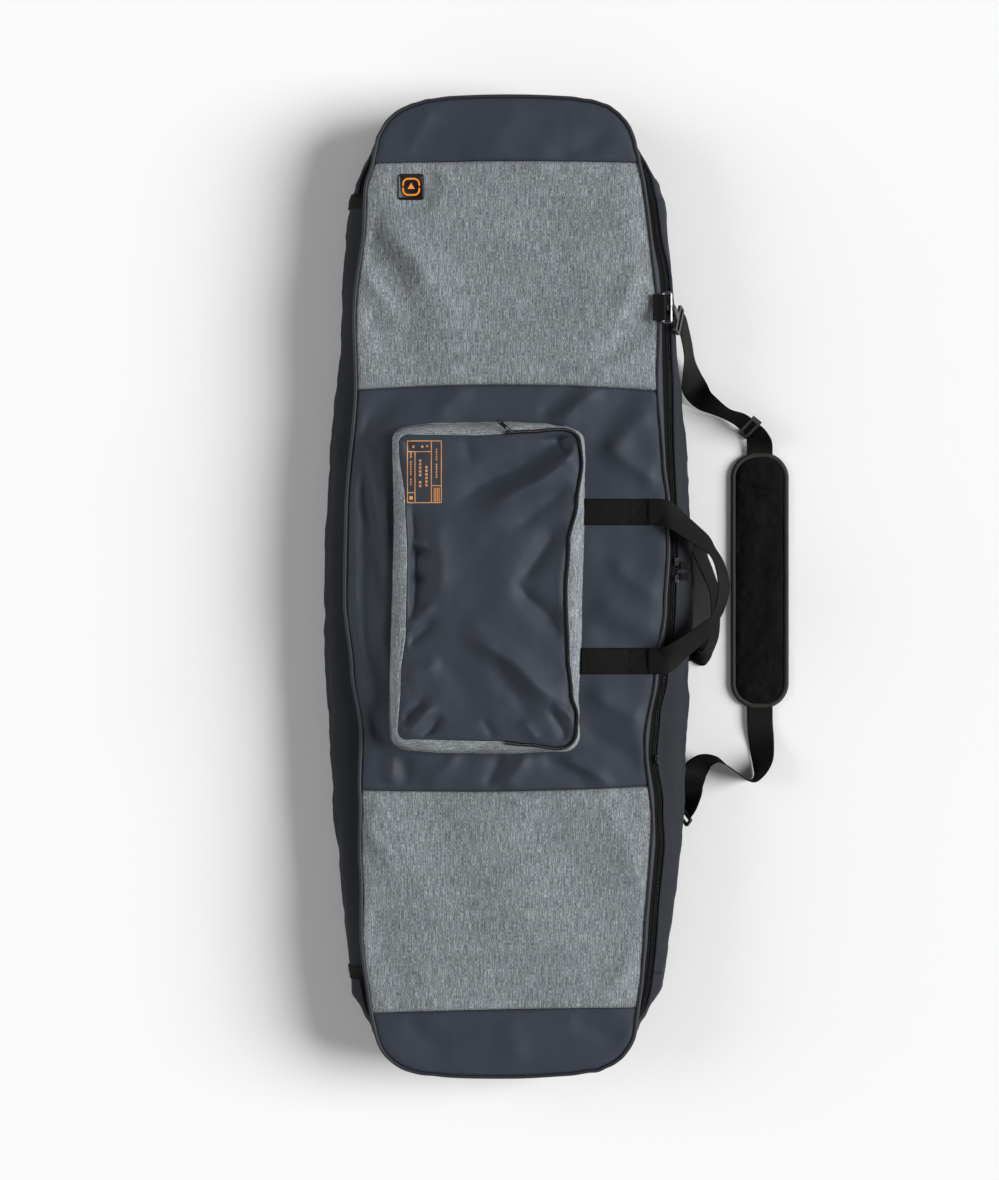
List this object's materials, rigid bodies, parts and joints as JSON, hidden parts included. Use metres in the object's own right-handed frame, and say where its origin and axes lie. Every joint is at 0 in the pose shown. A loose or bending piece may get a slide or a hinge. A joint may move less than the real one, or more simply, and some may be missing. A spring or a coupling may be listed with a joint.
{
  "type": "snowboard bag",
  "caption": "Padded board bag lying on its back, with a full-length zip-open front, an outside zip pocket, two carry handles and a clip-on shoulder strap with a pad.",
  "frame": {"origin": "middle of the back panel's outer face, on which the bag lies", "axes": "+Z out of the bag's front, +Y along the bag to its top end, +X to the side with the handles"},
  "size_m": [0.6794, 1.4252, 0.135],
  "materials": {
    "charcoal_fabric": "matte coated weave",
    "gusset_fabric": "matte coated weave",
    "heather_fabric": "matte heather weave",
    "foam": "closed-cell, matte",
    "lining_fabric": "smooth lining cloth",
    "piping": "satin piping",
    "webbing": "ribbed webbing",
    "zip_tape": "woven tape",
    "zip_coil": "nylon coil",
    "slider_metal": "bright plated",
    "pull_rubber": "moulded, matte",
    "badge_orange": "raised",
    "print_copper": "printed",
    "moulded_plastic": "moulded acetal",
    "pad_plush": "brushed plush",
    "binding": "ribbed binding"
  },
  "bodies": {
    "base": {"back_panel": "charcoal_fabric", "back_foam": "foam", "back_lining": "lining_fabric", "back_piping": "piping", "gusset_right": "gusset_fabric", "gusset_left": "gusset_fabric", "gusset_top": "gusset_fabric", "gusset_bottom": "gusset_fabric", "main_zip_tape_body": "zip_tape", "main_zip_coil_body": "zip_coil", "zip_end_tab_top": "webbing", "zip_end_tab_bottom": "webbing", "top_pull_tab": "webbing", "rear_handle_anchors": "webbing", "lower_strap_ring": "slider_metal", "lower_strap_tab": "webbing", "upper_strap_hook": "moulded_plastic", "lower_strap_hook": "moulded_plastic", "strap_webbing_upper": "webbing", "strap_webbing_lower": "webbing", "strap_pad": "pad_plush", "strap_pad_binding": "binding", "strap_adjuster": "moulded_plastic"},
    "front_flap": {"front_lining": "lining_fabric", "front_foam": "foam", "front_panel_bottom_end": "charcoal_fabric", "front_panel_lower": "heather_fabric", "front_panel_centre": "charcoal_fabric", "front_panel_upper": "heather_fabric", "front_panel_top_end": "charcoal_fabric", "front_piping": "piping", "flap_zip_band": "charcoal_fabric", "main_zip_tape_flap": "zip_tape", "main_zip_coil_flap": "zip_coil", "badge": "pull_rubber", "badge_mark": "badge_orange", "pocket_gusset": "heather_fabric", "pocket_front_fixed": "charcoal_fabric", "pocket_zip_coil": "zip_coil", "pocket_print": "print_copper", "front_handle_anchors": "webbing", "upper_strap_tab": "webbing"},
    "pocket_flap": {"pocket_front_flap": "charcoal_fabric"},
    "front_handle": {"front_handle_loop": "webbing"},
    "rear_handle": {"rear_handle_loop": "webbing"},
    "upper_ring": {"upper_strap_ring": "slider_metal"},
    "upper_slider": {"upper_zip_slider": "slider_metal"},
    "upper_pull": {"upper_zip_pull": "pull_rubber"},
    "lower_slider": {"lower_zip_slider": "slider_metal"},
    "lower_pull": {"lower_zip_pull": "pull_rubber"},
    "pocket_slider": {"pocket_zip_slider": "slider_metal"},
    "pocket_pull": {"pocket_zip_pull": "pull_rubber"}
  },
  "joints": [
    {"name": "front_flap_hinge", "type": "hinge", "parent": "base", "child": "front_flap", "pos_m": [-0.233, 0, 0.0915], "axis": [0, -1, 0], "range_deg": [0, 170]},
    {"name": "pocket_flap_hinge", "type": "hinge", "parent": "front_flap", "child": "pocket_flap", "pos_m": [-0.005, 0, 0.129], "axis": [0, -1, 0], "range_deg": [0, 160]},
    {"name": "front_handle_swing", "type": "hinge", "parent": "front_flap", "child": "front_handle", "pos_m": [0.2045, 0, 0.0945], "axis": [0, -1, 0], "range_deg": [0, 90]},
    {"name": "rear_handle_swing", "type": "hinge", "parent": "base", "child": "rear_handle", "pos_m": [0.2745, 0, 0.002], "axis": [0, -1, 0], "range_deg": [0, 20]},
    {"name": "upper_ring_swing", "type": "hinge", "parent": "front_flap", "child": "upper_ring", "pos_m": [0.22437, 0.404, 0.097], "axis": [0, -1, 0], "range_deg": [0, 75]},
    {"name": "upper_slider_slide", "type": "slide", "parent": "base", "child": "upper_slider", "axis": [-0.0073, 1, 0], "range_m": [0, 0.1]},
    {"name": "upper_pull_swing", "type": "hinge", "parent": "upper_slider", "child": "upper_pull", "pos_m": [0.24396, 0.0355, 0.08755], "axis": [-0.4, -0.9165, 0], "range_deg": [0, 85]},
    {"name": "lower_slider_slide", "type": "slide", "parent": "base", "child": "lower_slider", "axis": [0.0022, -1, 0], "range_m": [0, 0.1]},
    {"name": "lower_pull_swing", "type": "hinge", "parent": "lower_slider", "child": "lower_pull", "pos_m": [0.24415, 0.01131, 0.08755], "axis": [0.2441, -0.9698, 0], "range_deg": [0, 85]},
    {"name": "pocket_slider_slide", "type": "slide", "parent": "front_flap", "child": "pocket_slider", "axis": [1, 0, 0], "range_m": [0, 0.06]},
    {"name": "pocket_pull_swing", "type": "hinge", "parent": "pocket_slider", "child": "pocket_pull", "pos_m": [0.00204, 0.2239, 0.13115], "axis": [0.6428, 0.766, 0], "range_deg": [0, 110]}
  ]
}
